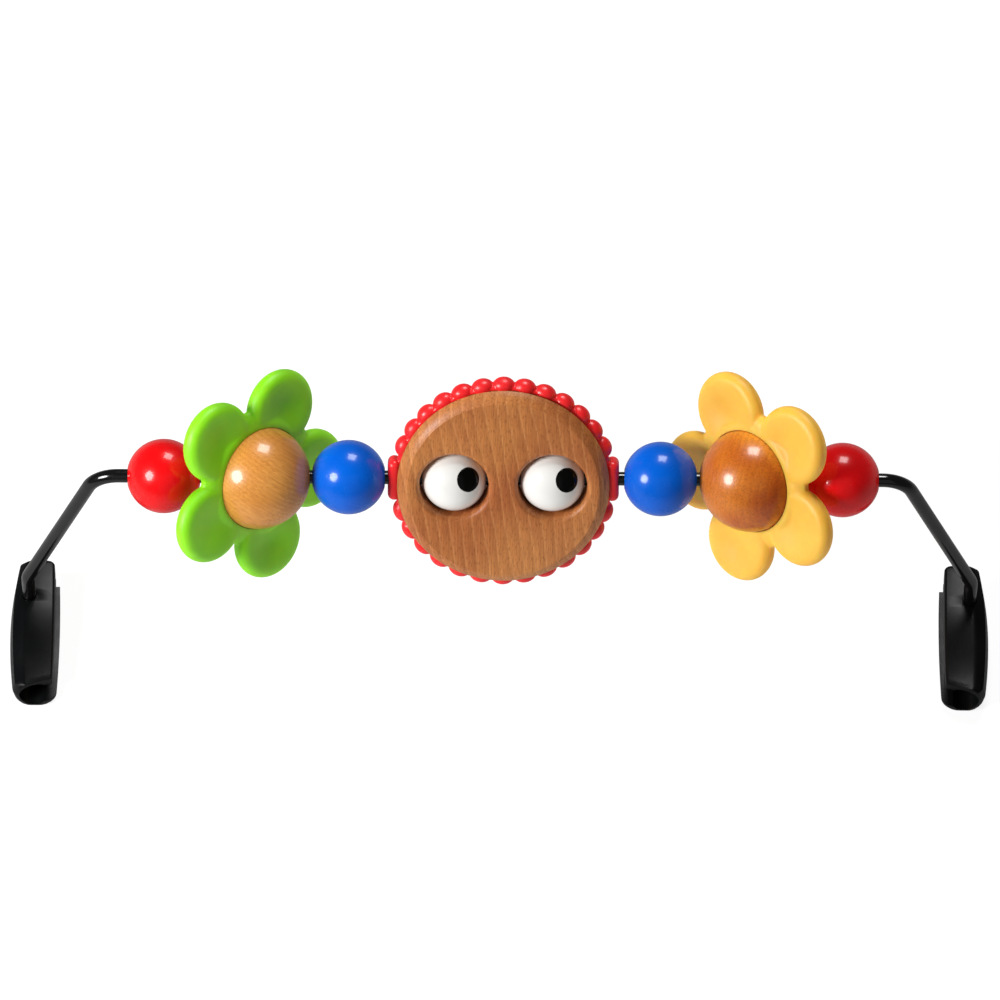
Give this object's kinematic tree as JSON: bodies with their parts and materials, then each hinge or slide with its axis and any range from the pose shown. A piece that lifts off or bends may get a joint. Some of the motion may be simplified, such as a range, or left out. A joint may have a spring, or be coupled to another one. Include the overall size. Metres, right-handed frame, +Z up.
{
  "type": "wooden bouncer toy bar",
  "caption": "Bent black steel bar for a baby bouncer, with a clip at each end, turning lacquered beads, petal flowers on wooden balls and a round wooden face with rolling eyes.",
  "frame": {"origin": "on the ground plane that the clips stand on, below the middle of the row's overall box, with the bar's axis 123.6 mm above it", "axes": "+X along the bar to the picture's right, +Y away from the side that the face looks to, +Z up from the clips to the bar"},
  "size_m": [0.434, 0.085, 0.1657],
  "materials": {
    "bar": "satin black coating on steel wire",
    "clip_black": "satin black moulding",
    "red_lacquer": "glossy red lacquer on wood",
    "blue_lacquer": "glossy blue lacquer on wood",
    "wood_left": "pale wood, clear satin lacquer",
    "wood_right": "red-brown wood, clear satin lacquer",
    "petal_left": "soft green, satin",
    "petal_right": "soft yellow, satin",
    "face_wood": "brown wood, clear satin lacquer",
    "band_red": "soft red, satin gloss",
    "eye_white": "glossy white",
    "pupil_black": "glossy black"
  },
  "bodies": {
    "bar": {"steel_bar": "bar", "clip_left": "clip_black", "clip_right": "clip_black"},
    "red_bead_left": {"red_bead_left": "red_lacquer"},
    "flower_left": {"flower_ball_left": "wood_left", "petals_left": "petal_left"},
    "blue_bead_left": {"blue_bead_left": "blue_lacquer"},
    "face": {"face_disc": "face_wood", "rim_band": "band_red"},
    "eye_left": {"eye_left": "eye_white", "pupil_left": "pupil_black"},
    "eye_right": {"eye_right": "eye_white", "pupil_right": "pupil_black"},
    "blue_bead_right": {"blue_bead_right": "blue_lacquer"},
    "flower_right": {"flower_ball_right": "wood_right", "petals_right": "petal_right"},
    "red_bead_right": {"red_bead_right": "red_lacquer"}
  },
  "joints": [
    {"name": "red_bead_left_spin", "type": "hinge", "parent": "bar", "child": "red_bead_left", "pos_m": [-0.1463, 0.00242, 0.1236], "axis": [1, 0, 0], "continuous": true},
    {"name": "flower_left_spin", "type": "hinge", "parent": "bar", "child": "flower_left", "pos_m": [-0.1053, 0.00242, 0.1236], "axis": [1, 0, 0], "continuous": true},
    {"name": "blue_bead_left_spin", "type": "hinge", "parent": "bar", "child": "blue_bead_left", "pos_m": [-0.0659, 0.00242, 0.1236], "axis": [1, 0, 0], "continuous": true},
    {"name": "face_spin", "type": "hinge", "parent": "bar", "child": "face", "pos_m": [0.00135, 0.00242, 0.1236], "axis": [1, 0, 0], "continuous": true},
    {"name": "eye_left_spin", "type": "hinge", "parent": "bar", "child": "eye_left", "pos_m": [-0.02005, 0.00242, 0.1236], "axis": [1, 0, 0], "continuous": true},
    {"name": "eye_right_spin", "type": "hinge", "parent": "bar", "child": "eye_right", "pos_m": [0.02275, 0.00242, 0.1236], "axis": [1, 0, 0], "continuous": true},
    {"name": "blue_bead_right_spin", "type": "hinge", "parent": "bar", "child": "blue_bead_right", "pos_m": [0.0697, 0.00242, 0.1236], "axis": [1, 0, 0], "continuous": true},
    {"name": "flower_right_spin", "type": "hinge", "parent": "bar", "child": "flower_right", "pos_m": [0.1093, 0.00242, 0.1236], "axis": [1, 0, 0], "continuous": true},
    {"name": "red_bead_right_spin", "type": "hinge", "parent": "bar", "child": "red_bead_right", "pos_m": [0.1489, 0.00242, 0.1236], "axis": [1, 0, 0], "continuous": true}
  ]
}
